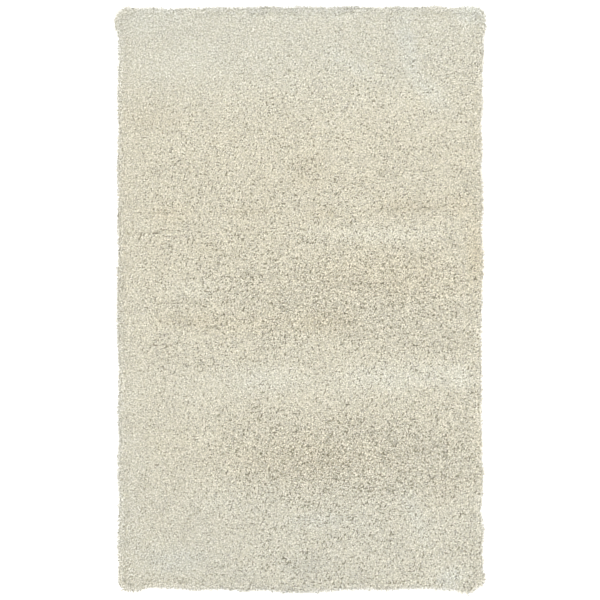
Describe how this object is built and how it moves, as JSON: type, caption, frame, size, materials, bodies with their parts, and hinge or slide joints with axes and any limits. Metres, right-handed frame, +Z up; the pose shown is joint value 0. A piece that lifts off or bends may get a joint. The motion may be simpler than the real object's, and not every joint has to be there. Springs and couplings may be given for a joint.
{
  "type": "shag rug",
  "caption": "Rectangular ivory shag rug lying flat: a deep, curly, uneven pile on a flat underside, with loose pile locks round its rim.",
  "frame": {"origin": "middle of the flat underside, on the floor", "axes": "+X across the rug's width, +Y along its length, +Z up out of the pile"},
  "size_m": [1.5562, 2.458, 0.0446],
  "materials": {
    "ivory_pile": "deep curly matt pile"
  },
  "bodies": {
    "root": {"shag_rug": "ivory_pile"}
  },
  "joints": []
}
